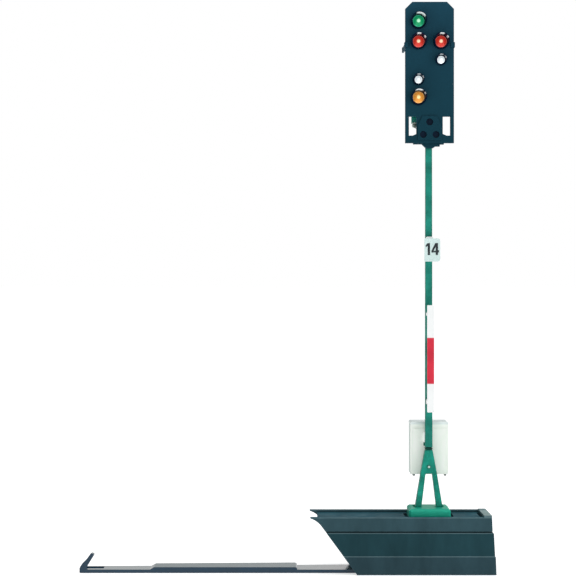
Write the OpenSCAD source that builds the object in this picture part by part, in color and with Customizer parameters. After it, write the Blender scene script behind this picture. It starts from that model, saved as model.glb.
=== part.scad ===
// Model signal mast, H0 scale: colour-light signal on a green channel mast, with a spread foot,
// mast board, number plate and cabinet, plugged into a stepped base with a track-bed clip.
// Origin: on the mast's axis at the base's underside. +Z up, the lamps face -Y, the track is at -X.

/* [Base] */
// height of the base's front and rear rims
base_h = 8.25; // [7:0.05:10]
// half depth of the base at its underside
base_half_d = 4.2; // [3.5:0.05:6]
// right end of the base at its underside
base_end_x = 9.45; // [8:0.05:14]
// where the slanted flank meets the ground
toe_x = -10.75; // [-14:0.05:-8]
// run of the slanted flank for each millimetre of height
flank_run = 0.74; // [0.5:0.01:1]
// left-most point of the two upper tips
tip_x = -17.55; // [-20:0.05:-15]
// radius of the hollow under the tips, where the roadbed's shoulder sits
shoulder_r = 3.2; // [2:0.1:6]
// height of the lower ledge
ledge_low_z = 2.7; // [1.5:0.05:4]
// height of the upper ledge
ledge_high_z = 6.05; // [5:0.05:7]
// height of the deck between the rims
deck_z = 7.95; // [6.5:0.05:9]

/* [Track clip] */
// left end of the clip's strip
clip_left_x = -51.25; // [-60:0.05:-40]
// right end of the strip, inside the base
clip_right_x = -2; // [-6:0.05:0]
// front edge of the strip
clip_front_y = -2.7; // [-3.5:0.05:-1]
// width of the strip at the base
clip_w = 3.6; // [2:0.05:4]
// width of the strip at its hooked end
clip_end_w = 2.5; // [1.5:0.05:4]
// thickness of the strip
clip_t = 0.5; // [0.3:0.05:1]
// thickness of the raised middle stretch
clip_mid_t = 0.85; // [0.5:0.05:1.5]
// height of the upturned hook
hook_h = 2.85; // [1.5:0.05:4]

/* [Mast] */
// width of the mast channel at its foot
mast_w = 1.06; // [0.7:0.01:1.4]
// width of the mast channel at its head
mast_top_w = 0.93; // [0.7:0.01:1.4]
// depth of the mast channel
mast_d = 1.0; // [0.7:0.05:1.4]
// thickness of the channel's walls at its head
mast_t = 0.2; // [0.15:0.01:0.35]
// bottom end of the mast channel
mast_z0 = 18.1; // [15:0.05:22]
// top end of the mast channel
mast_z1 = 64.9; // [55:0.1:70]
// top face of the foot pad
pad_top_z = 9.25; // [8.5:0.05:11]
// half width of the foot pad
pad_half_w = 3.05; // [2:0.05:4]
// half depth of the foot pad
pad_half_d = 2.4; // [1.8:0.05:2.8]

/* [Plates and cabinet] */
// width of the mast board
board_w = 1.0; // [0.8:0.05:1.6]
// bottom edge of the mast board
board_z0 = 23.4; // [20:0.1:30]
// top edge of the mast board
board_z1 = 39.1; // [32:0.1:45]
// width of the number plate
plate_w = 2.3; // [1.5:0.05:3.5]
// bottom edge of the number plate
plate_z0 = 45.5; // [41:0.1:52]
// height of the number plate
plate_h = 3.4; // [2:0.1:5]
// width of the cabinet
cab_w = 5.65; // [4:0.05:7]
// bottom of the cabinet
cab_z0 = 13.9; // [12:0.1:18]
// top of the cabinet's body
cab_z1 = 21.3; // [18:0.1:25]

/* [Head] */
// width of the lamp screen
screen_w = 7.15; // [6:0.05:9]
// bottom edge of the lamp screen
screen_z0 = 62.9; // [58:0.1:66]
// top edge of the lamp screen
screen_z1 = 83.65; // [78:0.05:90]
// cut across the screen's top corners
screen_cut = 1.03; // [0.5:0.01:2]
// distance of the lamp columns from the middle
lamp_x = 1.65; // [1.2:0.05:2.2]
// radius of the large lenses
lens_r = 0.85; // [0.6:0.01:1]
// radius of the small lenses
lens_small_r = 0.55; // [0.4:0.01:0.8]
// reach of the large hoods in front of the screen
hood_len = 1.75; // [1:0.05:2.5]
// reach of the small hoods
hood_small_len = 1.35; // [0.8:0.05:2]

/* [Show] */
// which node to draw

/* [Hidden] */
$fn = 64;
eps = 0.01;

// colours
navy = [0.10, 0.20, 0.24];
slate = [0.18, 0.26, 0.29];
green = [0.10, 0.45, 0.36];
pale = [0.80, 0.85, 0.82];
metal = [0.75, 0.75, 0.72];
pcb = [0.05, 0.35, 0.22];

// base
deck_half_d = 2.92;      // half depth of the sunk deck
rise_front = 0.3;        // the end wall stands this far above the rims at its front corner
rise_rear = 0.1;         // and this far at its rear corner
end_wall_x = 7.75;       // inner face of the raised end wall
ledge_low = 0.09;        // depth of the lower ledge, which is all slope
ledge_high = 0.17;       // depth of the upper ledge
ledge_bevel = 0.12;      // height of the slope on each ledge
groove_d = 0.1;          // groove between the upper ledge and the top tier
groove_h = 0.2;
draft_low = 0.08;        // draft of the lowest tier
draft_mid = 0.145;       // draft of the middle tier
draft_top = 0.09;        // draft of the top tier
flank_set = 0.6;         // the flank between the side walls is set back by this much
cavity_half_d = 3.1;
cavity_end_x = 8.05;
cavity_top_z = 6.9;
cavity_set = 1.3;        // the cavity's slanted end, measured from the outside of the flank
floor_t = 1.4;           // thickness of the bottom cover
cover_gap = 0.06;
window_x = 2.5;          // half width of the plug window in the deck
window_y = 1.7;
notch_x = 3.15;          // lifting pockets beside the foot pad
notch_w = 0.45;
notch_half_d = 2;
pocket_z = 7.6;
boss_r = 0.8;
screws = [[-7.9, 1.95], [7.15, 1.95], [7.15, -1.95]];
screw_r = 0.3;
screw_head_r = 0.65;
screw_head_z = 0.6;
screw_top_z = 3.6;
post_r = 0.5;
posts = [[-5.9, 1.9], [-5.9, -1.9], [5.1, 1.9], [5.1, -1.9]];
pcb_z = 2.2;
pcb_t = 0.8;
pcb_top = pcb_z + pcb_t;
socket_z1 = 5.6;
pin_pitch_x = 1.3;
pin_pitch_y = 1.2;
pin_xy = [for (i = [-1:1], j = [-0.5, 0.5]) [i * pin_pitch_x, j * pin_pitch_y]];
pin_r = 0.15;
spring_in_r = 0.2;
spring_out_r = 0.32;

// clip
clip_gap = 0.1;
lip_z = 0.2;             // top of the lips that hold the strip's tongue
tongue_x = -9.7;         // the strip's lower corners are cut away to the right of this
tongue_cut = 0.4;
tongue_z = 0.25;
mid_x0 = -40.35;         // ends of the raised stretch
mid_x1 = -19.45;
mid_slope = 0.65;
hook_w = 0.9;
taper_x = -12;           // the strip narrows from here to its hooked end
slot_len = 2.45;         // slot behind the hook
slot_w = 1.3;

// mast and foot
channel_w = mast_top_w - 2 * mast_t;
web_t = 0.22;
wire_d = 0.12;
wire_pitch = 0.165;
wire_front_y = -0.2;
wire_rear_y = -0.02;
leg_top_z = 17.65;
leg_mid_z = 14.2;
leg_half_d = 0.55;
leg_top_x = 0.55;
leg_mid_x = 1.2;
leg_low_x = 2.03;
gap_mid_x = 0.51;
gap_low_x = 1.1;
leg_wall = 0.12;
leg_web = 0.35;
collar_z0 = 17.8;
collar_z1 = 17.95;
slot_x0 = 1.4;
slot_x1 = 2.25;
wire_foot_x = 1.64;
rivet_r = 0.33;
rivet_h = 0.18;

// plates
board_x = 0.1;
board_y = -2.2;
board_t = 0.3;
board_lug_half = 0.44;
plate_lug_half = 0.47;
plate_x = 0.38;
plate_y = -1.9;
plate_t = 0.25;

// cabinet
cab_x = 0.22;
cab_y0 = 1.0;
cab_y1 = 4.1;
door_t = 0.15;

// head
screen_y0 = -1.6;
screen_y1 = -1.1;
win_x0 = 1.93;
win_x1 = 3.04;
win_z0 = 64.0;
win_z1 = 66.8;
hood_wall = 0.18;
hood_small_wall = 0.14;
hood_gap = 0.12;         // between a lens and its hood
lens_back_y = -0.35;
latch_z0 = 76.95;
latch_z1 = 77.7;
latch_x0 = 3.38;
latch_x1 = 3.56;
latch_end_y = 3.8;
lug_front_x = 3.7;
lug_rear_x = 3.64;
cover_x = 3.15;
cover_z0 = 67.2;
cover_z1 = 82.9;
cover_y1 = 2.5;
cover_t = 0.4;
led_board_y0 = 0.3;
led_board_y1 = 0.8;
// position of each lamp: x and z
green_at = [-lamp_x, 80.8];
red_left_at = [-lamp_x, 77.8];
red_right_at = [lamp_x, 77.8];
white_upper_at = [lamp_x, 75.1];
white_lower_at = [-lamp_x, 72.2];
yellow_at = [-lamp_x, 69.6];
sub_top_at = [0, 66.0];
sub_left_at = [-0.93, 64.15];
sub_right_at = [0.93, 64.15];
sub_r = 0.52;

// ---------------------------------------------------------------- helpers

// a box between two corners
module box(lo, hi) {
    translate(lo) cube(hi - lo);
}

// a drawing in X and Z, made solid from y = lo to y = hi
module side(lo, hi) {
    translate([0, hi, 0]) rotate([90, 0, 0]) linear_extrude(hi - lo) children();
}

// a drawing in Y and Z, made solid from x = lo to x = hi
module end(lo, hi) {
    translate([lo, 0, 0]) rotate([90, 0, 90]) linear_extrude(hi - lo) children();
}

// a round bar along Y at [x, z]
module bar_y(at, r, lo, hi) {
    translate([at[0], hi, at[1]]) rotate([90, 0, 0]) cylinder(r = r, h = hi - lo);
}

// a rectangle with its corners cut
module cut_rect(x0, x1, z0, z1, c) {
    polygon([[x0 + c, z0], [x1 - c, z0], [x1, z0 + c], [x1, z1 - c],
        [x1 - c, z1], [x0 + c, z1], [x0, z1 - c], [x0, z0 + c]]);
}

// a band of constant width along a path; across is the step from its centre line to its edge
module band(path, across) {
    last = len(path) - 1;
    polygon(concat([for (p = path) p - across], [for (i = [0:last]) path[last - i] + across]));
}

// ---------------------------------------------------------------- base

function flank_x(z) = toe_x - flank_run * z;

// centre of the hollow: a circle that touches the flank's line and passes through the tip
flank_len = sqrt(1 + flank_run * flank_run);
up = [-flank_run, 1] / flank_len;
out = [-1, -flank_run] / flank_len;
tip = [tip_x, base_h - 0.12];
from_toe = tip - [toe_x, 0];
across = from_toe * out;
along = from_toe * up - sqrt(2 * across * shoulder_r - across * across);
touch = [toe_x, 0] + up * along;
hollow = touch + out * shoulder_r;

wall_top = base_h + rise_front;

// the stepped and drafted outer face, from the ground up; e is how far out it stands at the ground
function tiers(e) = [[e, 0], [e - draft_low, ledge_low_z - ledge_bevel],
    [e - draft_low - ledge_low, ledge_low_z],
    [e - draft_low - ledge_low - draft_mid, ledge_high_z - ledge_bevel],
    [e - draft_low - ledge_low - draft_mid - ledge_low, ledge_high_z],
    [e - draft_low - ledge_low - draft_mid - ledge_high - groove_d, ledge_high_z],
    [e - draft_low - ledge_low - draft_mid - ledge_high - groove_d, ledge_high_z + groove_h],
    [e - draft_low - ledge_low - draft_mid - ledge_high, ledge_high_z + groove_h]];
function rim(e) = e - draft_low - ledge_low - draft_mid - ledge_high - draft_top;

// outline of the side walls, seen from the front
module base_outline() {
    difference() {
        polygon(concat([[toe_x, 0]], tiers(base_end_x), [[rim(base_end_x), wall_top],
            [end_wall_x, wall_top], [end_wall_x, base_h], [tip_x, base_h],
            [tip_x, touch[1]], touch]));
        translate(hollow) circle(r = shoulder_r);
    }
}

// section of the base, seen from its end
module base_section() {
    face = tiers(base_half_d);
    last = len(face) - 1;
    polygon(concat(face, [[rim(base_half_d), base_h + rise_rear], [-rim(base_half_d), wall_top]],
        [for (i = [0:last]) [-face[last - i][0], face[last - i][1]]]));
}

module strip_mouth() {
    box([toe_x - 4, clip_front_y - clip_gap, -1],
        [toe_x + 3, clip_front_y + clip_w + clip_gap, clip_t + clip_gap]);
}

module base_shell() {
    color(slate) {
        difference() {
            intersection() {
                side(-base_half_d - 1, base_half_d + 1) base_outline();
                end(tip_x - 1, base_end_x + 1) base_section();
            }
            // cavity, open below
            side(-cavity_half_d, cavity_half_d)
                polygon([[flank_x(-1) + cavity_set, -1], [cavity_end_x, -1],
                    [cavity_end_x, cavity_top_z], [flank_x(cavity_top_z) + cavity_set, cavity_top_z]]);
            // sunk deck
            box([tip_x - 1, -deck_half_d, deck_z], [end_wall_x, deck_half_d, base_h + 1]);
            // flank set back between the side walls
            side(-deck_half_d, deck_half_d) difference() {
                base_outline();
                translate([flank_set, 0]) base_outline();
                translate([toe_x + 3, -1]) square([base_end_x + 9, base_h + 3]);
            }
            box([-window_x, -window_y, cavity_top_z - 1], [window_x, window_y, deck_z + 1]);
            for (s = [0, 1]) mirror([s, 0, 0])
                box([notch_x, -notch_half_d, pocket_z], [notch_x + notch_w, notch_half_d, deck_z + 1]);
            box([end_wall_x - 0.35, -deck_half_d + 0.5, pocket_z],
                [end_wall_x, deck_half_d - 0.5, deck_z + 1]);
            strip_mouth();
        }
        for (p = screws) translate([p[0], p[1], floor_t]) difference() {
            cylinder(r = boss_r, h = cavity_top_z - floor_t + eps);
            translate([0, 0, -eps]) cylinder(r = screw_r, h = screw_top_z - floor_t + 0.2);
        }
    }
}

module base_bottom() {
    y0 = clip_front_y - clip_gap;
    y1 = clip_front_y + clip_w + clip_gap;
    color(slate) difference() {
        union() {
            box([flank_x(0) + cavity_set + cover_gap, -cavity_half_d + cover_gap, 0],
                [cavity_end_x - cover_gap, cavity_half_d - cover_gap, floor_t]);
            for (p = posts) translate([p[0], p[1], floor_t - eps])
                cylinder(r = post_r, h = pcb_z - floor_t + eps);
        }
        box([toe_x, y0, lip_z], [clip_right_x + clip_gap, y1, clip_t + clip_gap]);
        box([toe_x, y0 + tongue_cut, -1], [clip_right_x + clip_gap, y1 - tongue_cut, lip_z + eps]);
        for (p = screws) translate([p[0], p[1], -1]) {
            cylinder(r = screw_r + 0.05, h = floor_t + 2);
            cylinder(r = screw_head_r + 0.1, h = 1 + screw_head_z);
        }
    }
}

module base_board() {
    color(pcb) box([-6.8, -2.6, pcb_z], [6.0, 2.6, pcb_top]);
}

module decoder_chip() {
    color([0.06, 0.06, 0.06]) difference() {
        box([-6.2, -1.3, pcb_top + 0.1], [-2.8, 1.3, pcb_top + 0.8]);
        translate([-5.8, -0.9, pcb_top + 0.7]) cylinder(r = 0.2, h = 1);
    }
}

module chip_pins() {
    color(metal) for (i = [0:4], s = [-1, 1])
        translate([-5.7 + i * 0.6, s * 1.5, pcb_top + 0.15]) cube([0.22, 0.4, 0.3], center = true);
}

module board_parts() {
    color([0.45, 0.35, 0.22]) {
        translate([3.8, 0, pcb_top]) cylinder(r = 0.9, h = 1.6);
        box([4.9, -1.9, pcb_top], [5.7, -0.9, pcb_top + 0.5]);
        box([4.9, 0.9, pcb_top], [5.7, 1.9, pcb_top + 0.5]);
        box([3.0, 1.4, pcb_top], [4.2, 2.0, pcb_top + 0.4]);
        box([3.0, -2.0, pcb_top], [4.2, -1.4, pcb_top + 0.4]);
    }
}

module base_socket() {
    color([0.08, 0.08, 0.08]) difference() {
        box([-2.1, -1.2, pcb_top], [2.1, 1.2, socket_z1]);
        for (p = pin_xy) translate([p[0], p[1], pcb_top + 0.2]) cylinder(r = spring_out_r, h = 4);
    }
}

module socket_springs() {
    color([0.85, 0.7, 0.3]) for (p = pin_xy) translate([p[0], p[1], pcb_top + 0.2]) difference() {
        cylinder(r = spring_out_r, h = socket_z1 - pcb_top - 0.3);
        translate([0, 0, 0.2]) cylinder(r = spring_in_r, h = 4);
    }
}

module bottom_screws() {
    color(metal) for (p = screws) translate([p[0], p[1], 0]) difference() {
        union() {
            translate([0, 0, 0.1]) cylinder(r = screw_head_r, h = screw_head_z - 0.1);
            translate([0, 0, screw_head_z - eps]) cylinder(r = screw_r, h = screw_top_z - screw_head_z);
        }
        for (a = [0, 90]) rotate([0, 0, a]) translate([-0.4, -0.07, 0]) cube([0.8, 0.14, 0.25]);
    }
}

// ---------------------------------------------------------------- track clip

// the strip and its raised stretch, seen from the front
module strip_profile() {
    polygon([[clip_left_x + 0.15, 0], [clip_right_x, 0], [clip_right_x, clip_t], [mid_x1, clip_t],
        [mid_x1 - 0.03, clip_mid_t - 0.18], [mid_x1 - 0.12, clip_mid_t - 0.06],
        [mid_x1 - 0.3, clip_mid_t], [mid_x0, clip_mid_t], [mid_x0 - mid_slope, clip_t],
        [clip_left_x, clip_t], [clip_left_x, 0.15], [clip_left_x + 0.05, 0.05]]);
}

// the hook, seen from the front
module hook_profile() {
    translate([clip_left_x, 0]) polygon([[0.15, 0], [1.1, 0], [1.1, 0.95], [1.37, hook_h - 1.45],
        [1.73, hook_h - 0.87], [2.1, hook_h - 0.28], [2.05, hook_h - 0.1], [1.8, hook_h],
        [1.57, hook_h - 0.07], [1.44, hook_h - 0.28], [1.0, hook_h - 0.87], [0.41, hook_h - 1.45],
        [0.05, 0.85], [0, 0.7], [0, 0.15], [0.05, 0.05]]);
}

// outline of the strip, seen from above
module strip_plan() {
    rear = clip_front_y + clip_w;
    polygon([[clip_left_x - 1, clip_front_y], [clip_right_x, clip_front_y], [clip_right_x, rear],
        [taper_x, rear], [clip_left_x, clip_front_y + clip_end_w],
        [clip_left_x - 1, clip_front_y + clip_end_w]]);
}

module track_clip() {
    rear = clip_front_y + clip_w;
    color(slate) {
        difference() {
            intersection() {
                side(clip_front_y, rear) strip_profile();
                linear_extrude(clip_mid_t + 1) strip_plan();
            }
            box([clip_left_x + 0.95, clip_front_y + hook_w, -1],
                [clip_left_x + 0.95 + slot_len, clip_front_y + hook_w + slot_w, 1]);
            // rebates under the tongue
            for (y = [clip_front_y - 1, rear - tongue_cut])
                box([tongue_x, y, -1], [0, y + tongue_cut + 1, tongue_z]);
        }
        side(clip_front_y, clip_front_y + hook_w) hook_profile();
    }
}

// ---------------------------------------------------------------- foot and mast

module foot_pad() {
    bevel_x = 0.35;
    bevel_z = 0.3;
    color(green) difference() {
        intersection() {
            translate([0, 0, deck_z]) linear_extrude(pad_top_z - deck_z)
                cut_rect(-pad_half_w, pad_half_w, -pad_half_d, pad_half_d, 0.3);
            side(-pad_half_d - 1, pad_half_d + 1) polygon([
                [-pad_half_w, deck_z], [pad_half_w, deck_z], [pad_half_w, pad_top_z - bevel_z],
                [pad_half_w - bevel_x, pad_top_z], [bevel_x - pad_half_w, pad_top_z],
                [-pad_half_w, pad_top_z - bevel_z]]);
            end(-pad_half_w - 1, pad_half_w + 1) polygon([
                [-pad_half_d, deck_z], [pad_half_d, deck_z], [pad_half_d, pad_top_z - bevel_z],
                [pad_half_d - bevel_x, pad_top_z], [bevel_x - pad_half_d, pad_top_z],
                [-pad_half_d, pad_top_z - bevel_z]]);
        }
        for (s = [0, 1]) mirror([s, 0, 0])
            box([slot_x0, -0.25, deck_z - 1], [slot_x1, 1.8, pad_top_z + 1]);
    }
}

module foot_plug() {
    color([0.08, 0.08, 0.08]) difference() {
        box([0.1 - window_x, 0.1 - window_y, socket_z1 + 0.2], [window_x - 0.1, window_y - 0.1, deck_z]);
        for (p = pin_xy) translate([p[0], p[1], 0]) cylinder(r = pin_r, h = 6.8);
    }
}

module plug_pins() {
    color([0.85, 0.7, 0.3]) for (p = pin_xy) translate([p[0], p[1], pcb_top + 0.7])
        cylinder(r = pin_r, h = 6.8 - pcb_top - 0.7);
}

// outline of the spread foot, drawn in by e
module foot_outline(e) {
    difference() {
        polygon([[e - leg_top_x, leg_top_z], [leg_top_x - e, leg_top_z], [leg_mid_x - e, leg_mid_z],
            [leg_low_x - e, pad_top_z], [e - leg_low_x, pad_top_z], [e - leg_mid_x, leg_mid_z]]);
        polygon([[-gap_mid_x - e, leg_mid_z - 0.15], [-gap_mid_x - e + 0.1, leg_mid_z + e],
            [gap_mid_x + e - 0.1, leg_mid_z + e], [gap_mid_x + e, leg_mid_z - 0.15],
            [gap_low_x + e, pad_top_z - eps], [-gap_low_x - e, pad_top_z - eps]]);
    }
}

module mast_foot() {
    color(green) difference() {
        union() {
            side(-leg_half_d, leg_half_d) foot_outline(0);
            box([-0.38, -0.36, leg_top_z - eps], [0.38, 0.5, collar_z0]);
        }
        side(leg_web - leg_half_d, leg_half_d + 1) foot_outline(leg_wall);
        box([-channel_w / 2, web_t - mast_d / 2, leg_top_z - 1], [channel_w / 2, 2, collar_z0 + 1]);
        bar_y([0, 15.2], 0.2, -1, 0);
    }
}

module foot_rivet() {
    ball = (rivet_r * rivet_r + rivet_h * rivet_h) / (2 * rivet_h);
    color(green) {
        bar_y([0, 15.2], 0.2, -leg_half_d - eps, leg_web - leg_half_d);
        intersection() {
            translate([0, ball - leg_half_d - rivet_h, 15.2]) sphere(r = ball);
            box([-1, -leg_half_d - 1, 14], [1, -leg_half_d, 16]);
        }
    }
}

module mast_collar() {
    color(green) difference() {
        union() {
            box([-0.54, -0.56, collar_z0], [0.54, 0.56, collar_z1]);
            box([-0.4, -0.38, collar_z1 - eps], [0.4, 0.5, mast_z0]);
        }
        box([-channel_w / 2, web_t - mast_d / 2, collar_z0 - 1], [channel_w / 2, 2, mast_z0 + 1]);
    }
}

module mast() {
    color(green) difference() {
        side(-mast_d / 2, mast_d / 2) polygon([[-mast_w / 2, mast_z0], [mast_w / 2, mast_z0],
            [mast_top_w / 2, mast_z1], [-mast_top_w / 2, mast_z1]]);
        box([-channel_w / 2, web_t - mast_d / 2, mast_z0 - 1], [channel_w / 2, mast_d, mast_z1 + 1]);
    }
}

module mast_wires() {
    leg_x = (gap_mid_x + leg_mid_x) / 2;
    color([0.5, 0.25, 0.15]) for (i = [-1:1]) {
        dx = i * wire_pitch;
        side(wire_front_y, wire_front_y + wire_d) band([[dx, 64.5], [dx, leg_top_z],
            [-leg_x + i * 0.14, leg_mid_z + 0.15], [-wire_foot_x + i * 0.15, pad_top_z],
            [-wire_foot_x + i * 0.15, deck_z]], [wire_d / 2, 0]);
        side(wire_rear_y, wire_rear_y + wire_d) band([[dx, 64.5], [dx, leg_top_z],
            [leg_x + i * 0.14, leg_mid_z + 0.15], [wire_foot_x + i * 0.15, pad_top_z],
            [wire_foot_x + i * 0.15, deck_z]], [wire_d / 2, 0]);
    }
}

// ---------------------------------------------------------------- plates on the mast

module mast_board() {
    color([0.9, 0.3, 0.35]) side(board_y, board_y + board_t)
        cut_rect(board_x - board_w / 2, board_x + board_w / 2, board_z0, board_z1, 0.08);
}

// a lug between a plate and the mast's front face
module mast_lug(y, half, z0, z1) {
    side(y, -mast_d / 2) cut_rect(-half, half, z0, z1, 0.1);
}

module board_clips() {
    color(pale) {
        mast_lug(board_y + board_t, board_lug_half, 24.45, 25.2);
        mast_lug(board_y + board_t, board_lug_half, 37.5, 38);
    }
}

module number_plate() {
    z1 = plate_z0 + plate_h;
    x0 = plate_x - plate_w / 2;
    x1 = plate_x + plate_w / 2;
    color(pale) side(plate_y, plate_y + plate_t)
        polygon([[x0 + 0.08, plate_z0], [x1 - 0.35, plate_z0], [x1 - 0.1, plate_z0 + 0.1],
            [x1, plate_z0 + 0.35], [x1, z1 - 0.35], [x1 - 0.1, z1 - 0.1], [x1 - 0.35, z1],
            [x0 + 0.08, z1], [x0, z1 - 0.08], [x0, plate_z0 + 0.08]]);
}

module number_plate_clip() {
    color(pale) {
        mast_lug(plate_y + plate_t, plate_lug_half, plate_z0 + 0.1, plate_z0 + 1.5);
        mast_lug(plate_y + plate_t, plate_lug_half, plate_z0 + plate_h - 0.6, plate_z0 + plate_h + 0.25);
    }
}

module plate_digits() {
    z0 = 46.45;
    h = 1.75;
    s = 0.32;
    color([0.05, 0.09, 0.1]) side(plate_y - 0.04, plate_y) {
        translate([-0.3, z0]) polygon([[0, 0], [s, 0], [s, h], [0, h], [-0.3, h - 0.32],
            [-0.3, h - 0.62], [0, h - 0.38]]);
        translate([0.25, z0]) difference() {
            polygon([[0.62, 0], [0.62 + s, 0], [0.62 + s, h], [0.55, h], [0, 0.62], [0, 0.38],
                [0.62, 0.38]]);
            polygon([[0.28, 0.61], [0.62, 0.61], [0.62, 1.2]]);
        }
        translate([0.25 + 0.62 + s - eps, z0 + 0.38]) square([0.16, s]);
    }
}

// ---------------------------------------------------------------- cabinet

module cabinet_body() {
    x0 = cab_x - cab_w / 2;
    x1 = cab_x + cab_w / 2;
    color(pale) difference() {
        box([x0, cab_y0, cab_z0], [x1, cab_y1, cab_z1]);
        box([x0 + 0.3, cab_y0 + 0.3, cab_z0 + 0.3], [x1 - 0.3, cab_y1 - 0.3, cab_z1 + 1]);
    }
}

module cabinet_door() {
    x0 = cab_x - cab_w / 2 + 0.35;
    x1 = cab_x + cab_w / 2 - 0.35;
    seam = cab_x - 0.1;
    color(pale) for (d = [[x0, seam - 0.04], [seam + 0.04, x1]])
        side(cab_y0 - door_t, cab_y0) cut_rect(d[0], d[1], cab_z0 + 0.6, cab_z1 - 0.6, 0.05);
}

module cabinet_roof() {
    x0 = cab_x - cab_w / 2 - 0.02;
    x1 = cab_x + cab_w / 2 + 0.02;
    color([0.68, 0.74, 0.72]) side(cab_y0 - 0.1, cab_y1 + 0.1) polygon([[x0, cab_z1], [x1, cab_z1],
        [x1, cab_z1 + 0.22], [x1 - 0.18, cab_z1 + 0.4], [x0 + 0.18, cab_z1 + 0.4], [x0, cab_z1 + 0.22]]);
}

module cabinet_handle() {
    y1 = cab_y0 - door_t;
    color([0.95, 0.96, 0.95]) box([-0.66, y1 - 0.3, 18.75], [-0.36, y1, 20.15]);
}

module cabinet_glands() {
    color([0.12, 0.13, 0.13]) for (x = [-2, 2.67]) translate([x, 2.2, cab_z0 - 0.38])
        cylinder(r1 = 0.18, r2 = 0.24, h = 0.38);
}

module cabinet_bracket() {
    color(green) {
        box([-channel_w / 2, 0.2, cab_z1 - 0.5], [channel_w / 2, cab_y0, cab_z1 - 0.1]);
        box([-0.68, mast_d / 2, 18.2], [0.4, cab_y0 - door_t, 18.65]);
        box([-0.35, leg_half_d, cab_z0 + 0.25], [0.35, cab_y0, cab_z0 + 0.5]);
    }
}

// ---------------------------------------------------------------- head

module head_bracket() {
    y0 = screen_y1;
    y1 = -mast_d / 2;
    color(navy) side(y0, y1) difference() {
        union() {
            polygon([[-0.5, 62.2], [0.55, 62.2], [0.9, 62.45], [1.55, 62.45], [1.55, 62.75],
                [2.15, 62.75], [2.15, 63.3], [1.7, 63.6], [1.7, 66.9], [-1.7, 66.9], [-1.7, 63.6],
                [-2.35, 63.3], [-2.35, 62.78], [-1.6, 62.78], [-1.1, 62.78]]);
        }
        for (p = [sub_top_at, sub_left_at, sub_right_at]) translate(p) circle(r = 0.3);
    }
}

module screen_plate() {
    half = screen_w / 2;
    color(navy) difference() {
        side(screen_y0, screen_y1) difference() {
            polygon([[-half, screen_z0], [half, screen_z0], [half, screen_z1 - screen_cut],
                [half - screen_cut, screen_z1], [screen_cut - half, screen_z1],
                [-half, screen_z1 - screen_cut]]);
            for (s = [0, 1]) mirror([s, 0]) polygon([[win_x1, win_z0], [win_x1, win_z1],
                [win_x0, win_z1], [win_x0, win_z0 + 0.25], [win_x1 - 0.55, win_z0]]);
            for (s = [0, 1]) mirror([s, 0]) translate([latch_x0 - 0.03, latch_z0 - 0.04])
                square([1, latch_z1 - latch_z0 + 0.08]);
            for (p = [green_at, red_left_at, red_right_at, yellow_at])
                translate(p) circle(r = lens_r);
            for (p = [white_upper_at, white_lower_at]) translate(p) circle(r = lens_small_r);
            for (p = [sub_top_at, sub_left_at, sub_right_at]) translate(p) circle(r = sub_r);
        }
    }
}

module sub_panel() {
    color(navy) side(screen_y0 - 0.18, screen_y0) difference() {
        polygon([[-1.72, 63.35], [1.72, 63.35], [1.72, 65.5], [1.05, 66.85], [-1.05, 66.85],
            [-1.72, 65.5]]);
        for (p = [sub_top_at, sub_left_at, sub_right_at]) translate(p) circle(r = sub_r);
    }
}

// a hood: a tube on the screen, cut away below with a slant towards its open end
module hood(at, r, wall, reach) {
    outer = r + hood_gap + wall;
    front = screen_y0 - reach;
    color(navy) difference() {
        bar_y(at, outer, front, screen_y0);
        bar_y(at, r + hood_gap, front - 1, screen_y0 + 1);
        translate([0, 0, at[1]]) end(at[0] - outer - 1, at[0] + outer + 1) polygon([
            [screen_y0 - 0.25, -outer - 1], [screen_y0 - 0.25, -0.72 * outer],
            [front - eps, -0.15 * outer], [front - eps, -outer - 1]]);
    }
}

module hood_green() { hood(green_at, lens_r, hood_wall, hood_len); }
module hood_red_left() { hood(red_left_at, lens_r, hood_wall, hood_len); }
module hood_red_right() { hood(red_right_at, lens_r, hood_wall, hood_len); }
module hood_yellow() { hood(yellow_at, lens_r, hood_wall, hood_len); }
module hood_white_upper() { hood(white_upper_at, lens_small_r, hood_small_wall, hood_small_len); }
module hood_white_lower() { hood(white_lower_at, lens_small_r, hood_small_wall, hood_small_len); }

// a lens: a rod through the screen with a domed front, a little narrower than the rod
module lens(at, r, tint) {
    dome = 0.3;
    cap = r - 0.03;
    ball = (cap * cap + dome * dome) / (2 * dome);
    shoulder = screen_y0 - 0.25;
    color(tint) {
        bar_y(at, r, shoulder, lens_back_y);
        intersection() {
            translate([at[0], shoulder - dome + ball, at[1]]) sphere(r = ball);
            box([at[0] - 2, shoulder - dome - 1, at[1] - 2], [at[0] + 2, shoulder + eps, at[1] + 2]);
        }
    }
}

module lens_green() { lens(green_at, lens_r, [0.1, 0.7, 0.4]); }
module lens_red_left() { lens(red_left_at, lens_r, [0.9, 0.2, 0.15]); }
module lens_red_right() { lens(red_right_at, lens_r, [0.9, 0.2, 0.15]); }
module lens_yellow() { lens(yellow_at, lens_r, [0.95, 0.6, 0.15]); }
module lens_white_upper() { lens(white_upper_at, lens_small_r, [0.95, 1, 1]); }
module lens_white_lower() { lens(white_lower_at, lens_small_r, [0.95, 1, 1]); }

// a small unlit lens, set back in the lower panel
module sub_lens(at) {
    color([0.05, 0.1, 0.16]) bar_y(at, sub_r, screen_y0 + 0.15, screen_y1);
}

module sub_lens_top() { sub_lens(sub_top_at); }
module sub_lens_left() { sub_lens(sub_left_at); }
module sub_lens_right() { sub_lens(sub_right_at); }

module led_board() {
    color(pcb) side(led_board_y0, led_board_y1) polygon([[-2.6, 67.7], [-2.5, 67.7], [-2.5, 65.95],
        [-1.6, 65.95], [-1.6, 67.7], [2.6, 67.7], [2.6, 82.4], [-2.6, 82.4]]);
}

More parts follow.
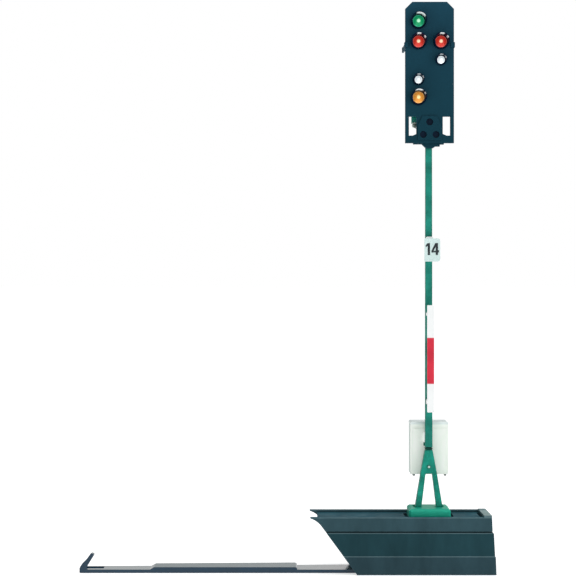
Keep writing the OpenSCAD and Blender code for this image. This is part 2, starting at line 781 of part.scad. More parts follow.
module leds() {
    color([0.9, 0.9, 0.8]) for (p = [green_at, red_left_at, red_right_at, white_upper_at,
        white_lower_at, yellow_at]) box([p[0] - 0.5, lens_back_y + 0.05, p[1] - 0.5],
            [p[0] + 0.5, led_board_y0, p[1] + 0.5]);
}

module resistors() {
    color([0.1, 0.1, 0.1]) for (i = [0:5])
        box([-1.9 + i * 0.7, led_board_y1, 72.5], [-1.5 + i * 0.7, led_board_y1 + 0.3, 73.4]);
}

module solder_joints() {
    color(metal) {
        side(led_board_y0 - 0.2, led_board_y0) cut_rect(-2.42, -1.8, 65.35, 66.1, 0.12);
        for (i = [0:5]) translate([-1.7 + i * 0.7, led_board_y1, 71.5])
            rotate([-90, 0, 0]) cylinder(r1 = 0.22, r2 = 0.1, h = 0.2);
    }
}

module head_wires() {
    color([0.35, 0.4, 0.38]) for (layer = [0, 1], i = [-1:1]) {
        dx = i * wire_pitch;
        y = layer == 0 ? wire_front_y : wire_rear_y;
        side(y, y + wire_d) band([[dx - 2.1, 65.85], [dx - 1.9, 65.5 + dx], [dx - 1.3, 65.2 + dx],
            [dx - 0.2, 65.15 + dx], [dx, 64.5]], [0.045, 0.035]);
    }
}

module rear_cover() {
    inner = cover_x - cover_t;
    color(navy) {
        difference() {
            side(screen_y1, cover_y1) cut_rect(-cover_x, cover_x, cover_z0, cover_z1, 0.5);
            side(screen_y1 - 1, cover_y1 - cover_t)
                cut_rect(-inner, inner, cover_z0 + cover_t, cover_z1 - cover_t, 0.3);
            box([-2.65, -0.3, cover_z0 - 1], [-1.45, 1.0, cover_z0 + 1]);
            for (z = [70, 71, 72, 78, 79, 80])
                box([-1.6, cover_y1 - cover_t - 1, z], [1.6, cover_y1 + 1, z + 0.35]);
        }
        for (s = [0, 1]) mirror([s, 0, 0]) {
            box([latch_x0, screen_y0 - eps, latch_z0], [latch_x1, latch_end_y, latch_z1]);
            box([cover_x - 0.1, 1.9, latch_z0], [latch_x0 + eps, cover_y1, latch_z1]);
            box([cover_x - 0.02, screen_y0 - 0.18, latch_z0], [lug_front_x, screen_y0, latch_z1]);
            box([latch_x1 - eps, screen_y0 - eps, latch_z0], [lug_front_x, -0.9, latch_z1]);
            box([latch_x1 - eps, 3.1, latch_z0], [lug_rear_x, latch_end_y, latch_z1]);
        }
    }
}

// ---------------------------------------------------------------- nodes

base_shell();
base_bottom();
base_board();
decoder_chip();
chip_pins();
board_parts();
base_socket();
socket_springs();
bottom_screws();
track_clip();
foot_pad();
foot_plug();
plug_pins();
mast_foot();
foot_rivet();
mast_collar();
mast();
mast_wires();
mast_board();
board_clips();
number_plate();
number_plate_clip();
plate_digits();
cabinet_body();
cabinet_door();
cabinet_roof();
cabinet_handle();
cabinet_glands();
cabinet_bracket();
head_bracket();
screen_plate();
sub_panel();
hood_green();
hood_red_left();
hood_red_right();
hood_white_upper();
hood_white_lower();
hood_yellow();
lens_green();
lens_red_left();
lens_red_right();
lens_white_upper();
lens_white_lower();
lens_yellow();
sub_lens_top();
sub_lens_left();
sub_lens_right();
led_board();
leds();
resistors();
solder_joints();
head_wires();
rear_cover();
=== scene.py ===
"""Looks for the model signal mast: materials, floor, light and camera around the CAD frame."""
import math

import bpy
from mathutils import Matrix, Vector


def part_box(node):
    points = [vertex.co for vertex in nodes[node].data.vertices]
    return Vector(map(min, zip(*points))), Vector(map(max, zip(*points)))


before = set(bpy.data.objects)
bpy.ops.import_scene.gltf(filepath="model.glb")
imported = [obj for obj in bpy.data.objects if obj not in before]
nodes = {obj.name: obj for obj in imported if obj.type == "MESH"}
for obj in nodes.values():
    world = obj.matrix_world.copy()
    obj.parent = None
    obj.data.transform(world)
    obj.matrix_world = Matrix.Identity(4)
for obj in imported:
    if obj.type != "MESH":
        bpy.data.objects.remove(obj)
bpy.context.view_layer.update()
scene = bpy.context.scene
MM = 0.001

# the part of a noise texture's values that is spread over the full range
MOST = (0.3, 0.7)


# ------------------------------------------------------------------ node helpers

class Tree:
    """A material, with short names for adding and linking its shader nodes."""

    def __init__(self, name):
        self.mat = bpy.data.materials.new(name)
        self.mat.use_nodes = True
        self.tree = self.mat.node_tree
        self.tree.nodes.clear()
        out = self.add("ShaderNodeOutputMaterial")
        self.bsdf = self.add("ShaderNodeBsdfPrincipled")
        self.link(self.bsdf.outputs[0], out.inputs["Surface"])
        self.coord = self.add("ShaderNodeTexCoord").outputs["Object"]

    def add(self, kind, **settings):
        n = self.tree.nodes.new(kind)
        for key, value in settings.items():
            setattr(n, key, value)
        return n

    def link(self, a, b):
        self.tree.links.new(a, b)

    def set(self, name, value):
        """Set a constant on the shader itself."""
        self.bsdf.inputs[name].default_value = value

    def feed(self, name, source):
        """Link a varying value to the shader."""
        self.link(source, self.bsdf.inputs[name])

    def noise(self, scale, detail=3.0, rough=0.55, stretch=None):
        """Noise at so many cells for each metre, stretched per axis if asked."""
        n = self.add("ShaderNodeTexNoise")
        n.inputs["Scale"].default_value = scale
        n.inputs["Detail"].default_value = detail
        n.inputs["Roughness"].default_value = rough
        source = self.coord
        if stretch:
            m = self.add("ShaderNodeMapping")
            m.inputs["Scale"].default_value = stretch
            self.link(self.coord, m.inputs["Vector"])
            source = m.outputs[0]
        self.link(source, n.inputs["Vector"])
        return n.outputs["Fac"]

    def ramp(self, fac, stops, mode="LINEAR"):
        n = self.add("ShaderNodeValToRGB")
        n.color_ramp.interpolation = mode
        while len(n.color_ramp.elements) < len(stops):
            n.color_ramp.elements.new(0.5)
        for e, (pos, col) in zip(n.color_ramp.elements, stops):
            e.position = pos
            e.color = (*col, 1.0)
        self.link(fac, n.inputs[0])
        return n.outputs[0]

    def remap(self, fac, a, b, lo=0.0, hi=1.0):
        """a where fac is lo or less, b where it is hi or more, and evenly between."""
        n = self.add("ShaderNodeMapRange")
        n.inputs["From Min"].default_value = lo
        n.inputs["From Max"].default_value = hi
        n.inputs["To Min"].default_value = a
        n.inputs["To Max"].default_value = b
        self.link(fac, n.inputs["Value"])
        return n.outputs[0]

    def math(self, op, a, b=None):
        n = self.add("ShaderNodeMath", operation=op)
        for i, v in enumerate((a, b)):
            if v is None:
                continue
            if isinstance(v, (int, float)):
                n.inputs[i].default_value = v
            else:
                self.link(v, n.inputs[i])
        return n.outputs[0]

    def mix(self, fac, a, b):
        n = self.add("ShaderNodeMix", data_type="RGBA")
        self.link(fac, n.inputs["Factor"])
        for socket, v in ((n.inputs["A"], a), (n.inputs["B"], b)):
            if isinstance(v, tuple):
                socket.default_value = (*v, 1.0)
            else:
                self.link(v, socket)
        return n.outputs["Result"]

    def uneven(self, a, b, scale, detail, rough=0.55, stretch=None, span=MOST):
        """A number that drifts between a and b."""
        return self.remap(self.noise(scale, detail, rough, stretch), a, b, *span)

    def patches(self, a, b, scale, detail, rough=0.55, stretch=None):
        """A colour that drifts between a and b."""
        return self.mix(self.uneven(0.0, 1.0, scale, detail, rough, stretch), a, b)

    def jitter(self, scale, detail, width):
        """A small offset, mostly within half the width either way, that makes borders uneven."""
        return self.math("MULTIPLY", self.math("SUBTRACT", self.noise(scale, detail), 0.5), width)

    def axis(self, which):
        n = self.add("ShaderNodeSeparateXYZ")
        self.link(self.coord, n.inputs[0])
        return n.outputs[which]

    def normal(self, which):
        n = self.add("ShaderNodeSeparateXYZ")
        self.link(self.add("ShaderNodeNewGeometry").outputs["Normal"], n.inputs[0])
        return n.outputs[which]

    def facing_up(self):
        """1 on level faces that look up, 0 on upright and lower ones."""
        return self.remap(self.normal("Z"), 0.0, 1.0, 0.55, 0.85)

    def around(self, cx, cz):
        """The offsets along X and Z from an axis that runs along Y, and the distance from it."""
        dx = self.math("SUBTRACT", self.axis("X"), cx)
        dz = self.math("SUBTRACT", self.axis("Z"), cz)
        squares = self.math("ADD", self.math("MULTIPLY", dx, dx), self.math("MULTIPLY", dz, dz))
        return dx, dz, self.math("SQRT", squares)

    def edges(self, width):
        """1 on outer edges and corners, 0 elsewhere, over so many millimetres."""
        n = self.add("ShaderNodeBevel", samples=6)
        n.inputs["Radius"].default_value = width * MM
        geo = self.add("ShaderNodeNewGeometry")
        dot = self.add("ShaderNodeVectorMath", operation="DOT_PRODUCT")
        self.link(n.outputs[0], dot.inputs[0])
        self.link(geo.outputs["Normal"], dot.inputs[1])
        return self.remap(dot.outputs["Value"], 1.0, 0.0, 0.72, 0.98)

    def crease(self, width):
        """1 in hollows and against neighbours, 0 on open faces, over so many millimetres."""
        n = self.add("ShaderNodeAmbientOcclusion", samples=6)
        n.inputs["Distance"].default_value = width * MM
        return self.remap(n.outputs["AO"], 1.0, 0.0)

    def edge_wear_and_shading(self, width, least, most, scale=1500, span=(0.35, 0.65)):
        """A mask on edges, stronger in some places than in others: real wear, and the edges that
        carry painted highlights and painted shade.
        """
        return self.math("MULTIPLY", self.edges(width),
                         self.uneven(least, most, scale, 3, span=span))

    def hollow_shade(self, width, least, most):
        """Painted shade in hollows, stronger in some places than in others."""
        return self.math("MULTIPLY", self.crease(width),
                         self.uneven(least, most, 900, 4, span=(0.4, 0.75)))

    def bump(self, height, strength, depth):
        """Relief of so many millimetres, in the shading only."""
        n = self.add("ShaderNodeBump")
        n.inputs["Strength"].default_value = strength
        n.inputs["Distance"].default_value = depth * MM
        self.link(height, n.inputs["Height"])
        self.feed("Normal", n.outputs[0])


def srgb(r, g, b):
    """An 8-bit screen colour as linear light."""
    def one(c):
        c /= 255
        return c / 12.92 if c <= 0.04045 else ((c + 0.055) / 1.055) ** 2.4
    return one(r), one(g), one(b)


def scaled(col, k):
    return tuple(min(1.0, c * k) for c in col)


# ------------------------------------------------------------------ materials

# marks of plastic that flowed up or down while it was moulded
FLOW = {"scale": 260, "detail": 4, "rough": 0.6, "stretch": (1, 1, 0.35)}
BLACK, WHITE = (0.0, 0.0, 0.0), (1.0, 1.0, 1.0)


def moulded(name, col, rough=0.42, grain=2600, depth=0.012, edge_wear_and_shading_tone=1.35, hollow_shade_tone=None, spec=0.5,
            coat=0.0, foot=None, side_shade_tone=None, lit_top_tone=None, polish=None, painted_glow=0.0):
    """Injection-moulded plastic: fine spark grain, flow marks, edges with wear and painted light
    and shade, and painted shade in hollows.

    grain is the number of grain cells for each metre, depth their relief in millimetres, and
    edge_wear_and_shading_tone the tone of the edges as a share of the colour: real wear, with a
    painted highlight where it is above 1 and painted shade where it is below.
    foot is the tone at the lamp screen's lower end, side_shade_tone a painted shade on faces which
    look along X, and lit_top_tone a painted reflection on level faces which look up.
    hollow_shade_tone is the painted shade in hollows.
    Below the first height in polish, in millimetres, level faces have the full coat, and above the
    second a third of it. painted_glow is painted light: emission in the plastic's own colour on
    parts that are no lamp.
    """
    t = Tree(name)
    body = t.patches(scaled(col, 0.88), scaled(col, 1.12), **FLOW)
    if foot:
        lo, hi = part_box("screen_plate")
        body = t.mix(t.remap(t.axis("Z"), 1.0, 0.0, lo[2], hi[2]), body, foot)
    # painted shade: faces that look along X get a darker tone
    if side_shade_tone:
        sideways = t.math("ABSOLUTE", t.normal("X"))
        body = t.mix(t.remap(sideways, 0.0, 1.0, 0.7, 0.95), body, side_shade_tone)
    # painted reflection: level faces that look up get a lighter tone
    if lit_top_tone:
        body = t.mix(t.facing_up(), body, lit_top_tone)
    # edges: real wear, with a painted highlight where the tone is above the colour and painted
    # shade where it is below
    body = t.mix(t.edge_wear_and_shading(0.07, 0.15, 0.9), body, scaled(col, edge_wear_and_shading_tone))
    # painted shade: a darker tone in hollows and against neighbours
    if hollow_shade_tone:
        body = t.mix(t.hollow_shade(0.5, 0.0, 0.5), body, hollow_shade_tone)
    t.feed("Base Color", body)
    t.feed("Roughness", t.uneven(rough - 0.07, rough + 0.09, 700, 4))
    t.set("Specular IOR Level", spec)
    # painted light: emission in the plastic's own colour, on parts that are no lamp
    t.set("Emission Color", (*col, 1))
    t.set("Emission Strength", painted_glow)
    if polish:
        gloss = t.remap(t.axis("Z"), coat, coat / 3, polish[0] * MM, polish[1] * MM)
        t.feed("Coat Weight", t.math("MULTIPLY", t.facing_up(), gloss))
    else:
        t.set("Coat Weight", coat)
    t.set("Coat Roughness", 0.12)
    t.bump(t.noise(grain, 2, 0.5), 0.35, depth)
    return t.mat


def painted(name, col, edge_shading_tone=0.4):
    """Sprayed enamel on thin brass: orange peel, specks of a brighter green, painted shading on the
    edges and painted shade in creases.

    edge_shading_tone is the edges' tone as a share of the colour: painted shade where it is below 1
    and a painted highlight where it is above.
    """
    t = Tree(name)
    body = t.patches(scaled(col, 0.6), scaled(col, 1.42), 520, 5, 0.62)
    speck = t.ramp(t.noise(4200, 1), [(0.0, BLACK), (0.66, BLACK), (0.72, WHITE)])
    body = t.mix(t.math("MULTIPLY", speck, 0.45), body, scaled(col, 2.1))
    # painted shading on the edges: shade where the tone is below the colour, a highlight where
    # above
    body = t.mix(t.edge_wear_and_shading(0.12, 0.6, 0.95, 1900, (0.4, 0.62)), body, scaled(col, edge_shading_tone))
    # painted shade: darker in creases, such as where the mast meets its foot
    body = t.mix(t.math("MULTIPLY", t.crease(0.35), 0.8), body, scaled(col, 0.2))
    t.feed("Base Color", body)
    t.feed("Roughness", t.uneven(0.3, 0.5, 1300, 3))
    t.set("Specular IOR Level", 0.12)
    t.bump(t.noise(3000, 3, 0.6), 0.3, 0.014)
    return t.mat


def tiered(name, low, mid, top, deck, edge_highlight, crest_highlight):
    """The base's moulded plastic, where each tier has its own tone, with painted highlights along
    the ledges, rims and edges and painted shade below the top tier and in hollows.

    low, mid and top are the tiers' tones, edge_highlight the painted highlight on ledges, rims and
    edges, deck the tone of the sunk deck and crest_highlight the painted highlight on the end
    walls' tops.
    """
    full = 10.0  # millimetres of height that the stops below are spread over
    # painted shade: the dark band just below the top tier; painted highlights: the light bands
    # along the ledges and the rim
    groove_shade = scaled(mid, 0.35)
    upright = [(0.0, low), (2.56, low), (2.6, edge_highlight), (2.69, edge_highlight), (2.73, mid), (5.92, mid),
               (5.96, edge_highlight), (6.03, edge_highlight), (6.06, groove_shade), (6.2, groove_shade), (6.26, top),
               (8.12, top), (8.2, edge_highlight)]
    # painted highlight: the lighter tone on the end walls' tops
    level = [(0.0, low), (6.2, low), (6.6, deck), (8.32, deck), (8.42, crest_highlight)]
    t = Tree(name)
    height = t.math("ADD", t.axis("Z"), t.jitter(1500, 3, 0.06 * MM))
    share = t.remap(height, 0.0, 1.0, 0.0, full * MM)
    walls, tops = (t.ramp(share, [(z / full, tone) for z, tone in stops])
                   for stops in (upright, level))
    body = t.mix(t.facing_up(), walls, tops)
    flow = t.ramp(t.noise(**FLOW), [(MOST[0], (0.8, 0.8, 0.8)), (MOST[1], (1.2, 1.2, 1.2))])
    mottle = t.add("ShaderNodeMix", data_type="RGBA", blend_type="MULTIPLY", clamp_result=False)
    mottle.inputs["Factor"].default_value = 1.0
    t.link(body, mottle.inputs["A"])
    t.link(flow, mottle.inputs["B"])
    # edges: wear, and a painted highlight in the light tone
    body = t.mix(t.edge_wear_and_shading(0.09, 0.25, 0.75), mottle.outputs["Result"], edge_highlight)
    # painted shade: darker in hollows
    body = t.mix(t.hollow_shade(0.3, 0.2, 0.7), body, scaled(mid, 0.5))
    t.feed("Base Color", body)
    t.feed("Roughness", t.uneven(0.48, 0.64, 700, 4))
    t.set("Specular IOR Level", 0.05)
    t.bump(t.noise(2600, 2, 0.5), 0.35, 0.012)
    return t.mat


def hood_look(name, node, painted_reflections):
    """A glossy navy hood, with painted reflections inside it: light patches on its inner wall.

    Each painted reflection is where it starts and stops, in degrees from the top, and how strong it
    is. They keep to the hood's inner side and to the half of its length nearest its mouth.
    """
    lo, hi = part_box(node)
    outer = (hi[0] - lo[0]) / 2
    midwall = outer - 0.1 * MM
    reach = hi[1] - lo[1]
    t = Tree(name)
    dx, dz, dist = t.around((lo[0] + hi[0]) / 2, hi[2] - outer)
    inside = t.remap(dist, 1.0, 0.0, midwall, midwall + 0.04 * MM)
    mouth = t.remap(t.axis("Y"), 1.0, 0.0, lo[1] + 0.5 * reach, lo[1] + 0.66 * reach)
    angle = t.math("ADD", t.math("ARCTAN2", dx, dz), t.jitter(1200, 2, 0.3))
    reflection_mask = None
    for start, stop, weight in painted_reflections:
        middle, half = math.radians((start + stop) / 2), math.radians((stop - start) / 2)
        off = t.math("ABSOLUTE", t.math("SUBTRACT", angle, middle))
        here = t.remap(off, weight, 0.0, half * 0.7, half * 1.2)
        reflection_mask = here if reflection_mask is None else t.math("MAXIMUM", reflection_mask, here)
    reflection_mask = t.math("MULTIPLY", inside, t.math("MULTIPLY", reflection_mask, mouth))
    body = t.patches(srgb(2, 14, 32), srgb(6, 26, 50), 420, 4)
    body = t.mix(t.edge_wear_and_shading(0.05, 0.1, 0.6), body, srgb(40, 66, 92))
    # painted reflection: light patches on the hood's inner wall near its mouth
    body = t.mix(reflection_mask, body, srgb(240, 248, 250))
    t.feed("Base Color", body)
    t.feed("Roughness", t.uneven(0.3, 0.42, 900, 3))
    t.set("Specular IOR Level", 0.03)
    t.bump(t.noise(1800, 2), 0.3, 0.004)
    return t.mat


def metal(name, col, rough=0.3):
    """Bare metal with fine tooling marks and tarnish."""
    t = Tree(name)
    tarnish = t.uneven(0.0, 1.0, 800, 4, span=(0.35, 0.7))
    t.feed("Base Color", t.mix(tarnish, scaled(col, 0.75), scaled(col, 1.05)))
    t.set("Metallic", 1.0)
    t.feed("Roughness", t.uneven(rough - 0.1, rough + 0.15, 2600, 3, 0.5))
    t.bump(t.noise(5000, 2, 0.5), 0.3, 0.006)
    return t.mat


def rivet_head():
    """A green-enamelled rivet with a painted highlight on its crown, where it faces the front."""
    t = Tree("rivet_enamel")
    crown = t.remap(t.normal("Y"), 1.0, 0.0, -0.97, -0.88)
    green = t.patches(srgb(12, 92, 78), srgb(24, 132, 112), 2200, 3)
    # painted highlight: the crown, where it faces the front, turns near white
    crown_highlight = t.math("MULTIPLY", crown, t.uneven(0.8, 1.0, 2600, 3))
    t.feed("Base Color", t.mix(crown_highlight, green, srgb(214, 234, 226)))
    t.feed("Roughness", t.uneven(0.25, 0.4, 1800, 2))
    t.bump(t.noise(3200, 2), 0.2, 0.006)
    return t.mat


def banded_board():
    """White, red, white enamel with slightly soft borders between the fields."""
    lo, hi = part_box("mast_board")
    red_from, red_to, border = 0.262, 0.692, 0.008  # shares of the board's height
    white, red = srgb(252, 255, 255), srgb(216, 56, 75)
    t = Tree("mast_board_enamel")
    height = t.math("ADD", t.axis("Z"), t.jitter(2400, 2, 0.08 * MM))
    share = t.remap(height, 0.0, 1.0, lo[2], hi[2])
    field = t.ramp(share, [(0.0, BLACK), (red_from, BLACK), (red_from + border, WHITE),
                           (red_to, WHITE), (red_to + border, BLACK)])
    body = t.mix(field, t.patches(scaled(white, 0.96), white, 500, 4),
                 t.patches(scaled(red, 0.86), scaled(red, 1.15), 420, 4))
    body = t.mix(t.edge_wear_and_shading(0.05, 0.0, 0.5, 2100, (0.45, 0.62)), body, srgb(190, 185, 180))
    t.feed("Base Color", body)
    t.feed("Roughness", t.uneven(0.3, 0.48, 1100, 3))
    t.set("Specular IOR Level", 0.06)
    t.bump(t.noise(2600, 3), 0.25, 0.01)
    return t.mat


def lens_glow(name, node, stops, strength):
    """A lit lamp: an evenly tinted dome with a small hot core, a paler rim and moulded rings."""
    lo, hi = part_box(node)
    radius = (hi[0] - lo[0]) / 2
    rings = 28.0  # radians of the ring wave from the axis to the rim
    t = Tree(name)
    _, _, dist = t.around((lo[0] + hi[0]) / 2, (lo[2] + hi[2]) / 2)
    share = t.math("ADD", t.math("DIVIDE", dist, radius), t.jitter(2300, 3, 0.12))
    body = t.ramp(share, stops, "EASE")
    t.feed("Base Color", body)
    t.feed("Emission Color", body)
    t.set("Emission Strength", strength)
    t.feed("Roughness", t.uneven(0.14, 0.28, 1700, 2))
    t.set("Specular IOR Level", 0.3)
    t.bump(t.math("SINE", t.math("MULTIPLY", share, rings)), 0.12, 0.02)
    return t.mat


def tinted(core, body, rim):
    """Colour stops from a lens's axis to its rim."""
    return [(0.0, core), (0.18, core), (0.4, body), (0.8, body), (0.96, rim)]


def clear(body, ring):
    """Colour stops of a white lens, with a grey ring round its middle."""
    return [(0.0, body), (0.36, body), (0.46, ring), (0.58, ring), (0.68, body)]


def dark_lens():
    """An unlit lamp: nearly black, glossy, faintly blue."""
    t = Tree("lens_unlit")
    t.feed("Base Color", t.patches(srgb(4, 22, 42), srgb(10, 34, 56), 900, 3))
    t.feed("Roughness", t.uneven(0.3, 0.42, 2000, 2))
    t.set("Specular IOR Level", 0.1)
    t.bump(t.noise(3000, 2), 0.15, 0.01)
    return t.mat


def circuit(name, col):
    """Solder resist over copper tracks."""
    t = Tree(name)
    tracks = t.add("ShaderNodeTexBrick")
    tracks.inputs["Scale"].default_value = 900
    tracks.inputs["Mortar Size"].default_value = 0.03
    for socket, tone in (("Color1", 1.0), ("Color2", 0.8), ("Mortar", 1.6)):
        tracks.inputs[socket].default_value = (*scaled(col, tone), 1)
    t.link(t.coord, tracks.inputs["Vector"])
    stain = t.uneven(0.0, 0.3, 700, 3, span=(0.4, 0.7))
    t.feed("Base Color", t.mix(stain, tracks.outputs["Color"], scaled(col, 0.6)))
    t.feed("Roughness", t.uneven(0.22, 0.36, 1200, 2))
    t.bump(tracks.outputs["Fac"], 0.3, 0.01)
    return t.mat


base_dark = tiered("base_plastic", low=srgb(46, 70, 78), mid=srgb(33, 64, 71), top=srgb(52, 78, 86),
                   deck=srgb(36, 85, 98), edge_highlight=srgb(92, 118, 124), crest_highlight=srgb(142, 164, 164))
# painted reflection: the clip's level tops are lighter; its lighter edges are painted highlights
clip_dark = moulded("clip_plastic", srgb(8, 50, 72), 0.16, grain=1500, depth=0.003, edge_wear_and_shading_tone=1.6,
                    spec=0.4, coat=1.0, lit_top_tone=srgb(40, 80, 86), polish=(0.6, 0.75))
# painted shade: darker in hollows, around the hoods; the tone also darkens towards the lower end
screen_dark = moulded("screen_plastic", srgb(28, 70, 88), 0.5, edge_wear_and_shading_tone=1.5, spec=0.06,
                      hollow_shade_tone=srgb(6, 28, 46), foot=srgb(16, 56, 69))

# painted highlight: the pad's edges are much lighter than its faces
pad_green = moulded("pad_plastic", srgb(34, 180, 150), edge_wear_and_shading_tone=1.9, spec=0.15)
# painted shade: the mast's and foot's edges are darker; painted highlight: the collar's edges are
# lighter
mast_green = painted("mast_enamel", srgb(30, 128, 112))
foot_green = painted("foot_enamel", srgb(23, 138, 119))
collar_green = painted("collar_enamel", srgb(10, 62, 54), edge_shading_tone=2.2)

# painted light: a small glow evens out the cabinet's shading; painted shade: its side faces are
# darker
cabinet_grey = moulded("cabinet_plastic", srgb(238, 246, 237), 0.45, edge_wear_and_shading_tone=0.9, spec=0.3,
                       painted_glow=0.12, side_shade_tone=srgb(176, 190, 186))
roof_grey = moulded("roof_plastic", srgb(234, 247, 243), 0.45, edge_wear_and_shading_tone=1.05, spec=0.3)
# painted light: a glow keeps the handle bright in the mast's shade
handle_white = moulded("handle_plastic", srgb(252, 255, 253), 0.35, edge_wear_and_shading_tone=0.98, painted_glow=0.3)
gland_grey = moulded("gland_plastic", srgb(112, 124, 122), 0.5, edge_wear_and_shading_tone=1.2)

# painted shade: a greyer tone in the hollows of the white parts
white_part = moulded("white_plastic", srgb(240, 246, 244), 0.4, edge_wear_and_shading_tone=0.95, spec=0.3,
                     hollow_shade_tone=srgb(200, 206, 204))
# painted shade: the number plate's edges are a little darker
plate_white = moulded("plate_enamel", srgb(215, 238, 236), 0.4, edge_wear_and_shading_tone=0.85, spec=0.3)
ink = moulded("digit_ink", srgb(14, 30, 38), 0.5, edge_wear_and_shading_tone=1.1)

part_black = moulded("part_plastic", srgb(26, 28, 30), 0.5, edge_wear_and_shading_tone=1.5)
component = moulded("component_body", srgb(150, 110, 62), 0.4, edge_wear_and_shading_tone=1.3)
wire = moulded("wire_enamel", srgb(96, 116, 108), 0.35, edge_wear_and_shading_tone=1.2)
resist = circuit("solder_resist", srgb(20, 128, 112))
steel = metal("steel", srgb(205, 208, 204))
gold = metal("contact_plating", srgb(226, 182, 92), 0.25)
solder = metal("solder", srgb(220, 230, 222), 0.45)

COLOUR_GLOW, WHITE_GLOW = 0.4, 0.6
green_stops = tinted(srgb(190, 255, 215), srgb(22, 158, 100), srgb(60, 180, 140))
yellow_stops = tinted(srgb(255, 240, 170), srgb(224, 148, 60), srgb(232, 172, 104))
red_stops = tinted(srgb(255, 225, 185), srgb(206, 54, 42), srgb(214, 92, 84))
white_stops = clear(srgb(244, 252, 255), srgb(208, 218, 220))
lit = {
    "lens_green": (green_stops, COLOUR_GLOW),
    "lens_red_left": (red_stops, COLOUR_GLOW),
    "lens_red_right": (red_stops, COLOUR_GLOW),
    "lens_yellow": (yellow_stops, COLOUR_GLOW),
    "lens_white_upper": (white_stops, WHITE_GLOW),
    "lens_white_lower": (white_stops, WHITE_GLOW),
}

# painted reflections inside the hoods: start and stop in degrees from the top, and strength
red_hood_reflections = [(-15, 20, 1.0), (50, 70, 0.8)]
white_hood_reflections = [(-20, 20, 0.6), (50, 80, 0.5)]
hood_reflections = {
    "hood_green": [(-18, 62, 1.0)],
    "hood_red_left": red_hood_reflections,
    "hood_red_right": red_hood_reflections,
    "hood_yellow": [(-30, 30, 1.0), (50, 70, 0.4)],
    "hood_white_upper": white_hood_reflections,
    "hood_white_lower": white_hood_reflections,
}

looks = {
    "base_shell": base_dark, "base_bottom": base_dark, "base_board": resist,
    "decoder_chip": part_black, "chip_pins": solder, "board_parts": component,
    "base_socket": part_black, "socket_springs": gold, "bottom_screws": steel,
    "track_clip": clip_dark,
    "foot_pad": pad_green, "foot_plug": part_black, "plug_pins": gold,
    "mast_foot": foot_green, "foot_rivet": rivet_head(), "mast_collar": collar_green,
    "mast": mast_green, "mast_wires": wire, "mast_board": banded_board(), "board_clips": white_part,
    "number_plate": plate_white, "number_plate_clip": white_part, "plate_digits": ink,
    "cabinet_body": cabinet_grey, "cabinet_door": cabinet_grey, "cabinet_roof": roof_grey,
    "cabinet_handle": handle_white, "cabinet_glands": gland_grey, "cabinet_bracket": mast_green,
    "head_bracket": screen_dark, "screen_plate": screen_dark, "sub_panel": screen_dark,
    "rear_cover": screen_dark, "led_board": resist, "leds": white_part,
    "resistors": part_black, "solder_joints": solder, "head_wires": wire,
}
unlit = dark_lens()
for name in nodes:
    if name in hood_reflections:
        looks[name] = hood_look(name + "_plastic", name, hood_reflections[name])
    elif name.startswith("sub_lens_"):
        looks[name] = unlit
    elif name in lit:
        looks[name] = lens_glow(name + "_glow", name, *lit[name])

# edge radius of each node's bevel, in millimetres; thin or round pieces keep their own edges
soft_edges = {
    "base_shell": 0.03, "track_clip": 0.03,
    "foot_pad": 0.12, "mast_foot": 0.04, "mast_collar": 0.02, "mast": 0.05,
    "mast_board": 0.04, "board_clips": 0.03, "number_plate": 0.05, "number_plate_clip": 0.03,
    "cabinet_body": 0.07, "cabinet_door": 0.04, "cabinet_roof": 0.05, "cabinet_handle": 0.06,
    "head_bracket": 0.05, "screen_plate": 0.05, "sub_panel": 0.04, "rear_cover": 0.12,
    "hood_green": 0.03, "hood_red_left": 0.03, "hood_red_right": 0.03, "hood_yellow": 0.03,
    "hood_white_upper": 0.02, "hood_white_lower": 0.02, "solder_joints": 0.08,
}

for name, obj in nodes.items():
    obj.data.materials.clear()
    obj.data.materials.append(looks[name])
    if name in soft_edges:
        mod = obj.modifiers.new("soft_edges", "BEVEL")
        mod.width = soft_edges[name] * MM
        mod.segments = 2
        mod.limit_method = "ANGLE"
        mod.angle_limit = math.radians(32)
        mod.harden_normals = False


# ------------------------------------------------------------------ floor

def plane(name, half, z, mat):
    corners = [(-half, -half, z), (half, -half, z), (half, half, z), (-half, half, z)]
    mesh = bpy.data.meshes.new(name)
    mesh.from_pydata(corners, [], [(0, 1, 2, 3)])
    obj = bpy.data.objects.new(name, mesh)
    scene.collection.objects.link(obj)
    obj.data.materials.append(mat)


def floor_paper():
    """Matt white paper, bright enough to end in white all round."""
    t = Tree("floor_paper")
    t.feed("Base Color", t.patches((0.93, 0.93, 0.93), (0.96, 0.96, 0.96), 60, 3))
    t.feed("Roughness", t.uneven(0.85, 0.95, 400, 2, span=(0.0, 1.0)))
    t.set("Emission Color", (1, 1, 1, 1))
    t.set("Emission Strength", 0.55)
    return t.mat


plane("floor", 3.0, 0.0, floor_paper())


# ------------------------------------------------------------------ light

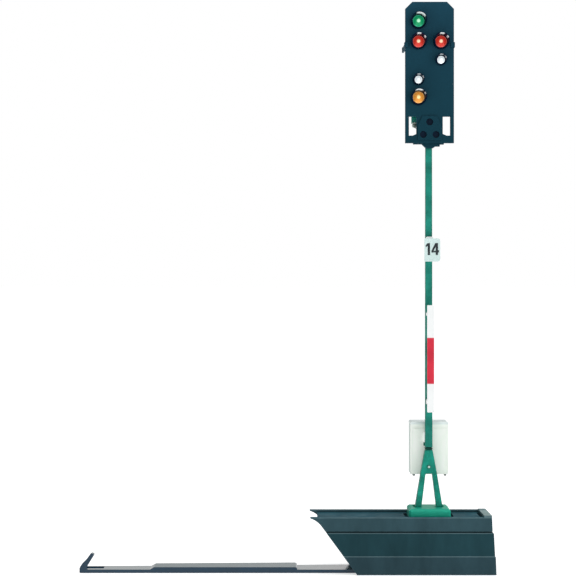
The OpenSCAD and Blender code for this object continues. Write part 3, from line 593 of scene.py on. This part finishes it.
def studio():
    """The world: plain white to the camera, but as light it is dimmer in front and dim at the left.

    That shades the front faces and gives white pieces an edge against the backdrop.
    """
    world = bpy.data.worlds.new("studio")
    scene.world = world
    world.use_nodes = True
    add, link = world.node_tree.nodes.new, world.node_tree.links.new

    def eased(value, lo, hi, a, b):
        n = add("ShaderNodeMapRange")
        n.interpolation_type = "SMOOTHSTEP"
        for key, number in (("From Min", lo), ("From Max", hi), ("To Min", a), ("To Max", b)):
            n.inputs[key].default_value = number
        link(value, n.inputs["Value"])
        return n.outputs[0]

    def joined(op, a, b):
        n = add("ShaderNodeMath")
        n.operation = op
        link(a, n.inputs[0])
        link(b, n.inputs[1])
        return n.outputs[0]

    where = add("ShaderNodeSeparateXYZ")
    link(add("ShaderNodeTexCoord").outputs["Generated"], where.inputs[0])
    front_to_back = eased(where.outputs["Y"], -0.55, 0.15, 0.55, 0.8)
    left_to_right = eased(where.outputs["X"], -0.9, 0.2, 0.25, 1.0)
    light = joined("MULTIPLY", front_to_back, left_to_right)
    seen = add("ShaderNodeLightPath").outputs["Is Camera Ray"]
    back = world.node_tree.nodes["Background"]
    back.inputs["Color"].default_value = (1, 1, 1, 1)
    link(joined("MAXIMUM", light, seen), back.inputs["Strength"])


def area(name, at, power, aim=(0.0, 0.0, 0.045), size=0.3):
    data = bpy.data.lights.new(name, "AREA")
    data.shape = "DISK"
    data.size = size
    data.energy = power
    obj = bpy.data.objects.new(name, data)
    scene.collection.objects.link(obj)
    obj.location = at
    obj.rotation_euler = (Vector(aim) - Vector(at)).to_track_quat("-Z", "Y").to_euler()


studio()
area("key", (-0.34, -0.30, 0.20), 0.1)
area("fill", (0.36, -0.30, 0.18), 0.32)
area("top", (0.0, -0.05, 0.5), 0.42)

scene.view_settings.view_transform = "Standard"
scene.view_settings.look = "None"


# ------------------------------------------------------------------ camera

cam_data = bpy.data.cameras.new("camera")
cam_data.sensor_width = 36.0
cam_data.lens = 88.7
cam_data.shift_x = -0.0035
cam_data.shift_y = -0.0341
cam_data.clip_start = 0.01
cam_data.clip_end = 20
cam = bpy.data.objects.new("camera", cam_data)
scene.collection.objects.link(cam)
cam.location = (-20.5 * MM, -210 * MM, 44.5 * MM)
cam.rotation_euler = (math.radians(90), 0, 0)
scene.camera = cam
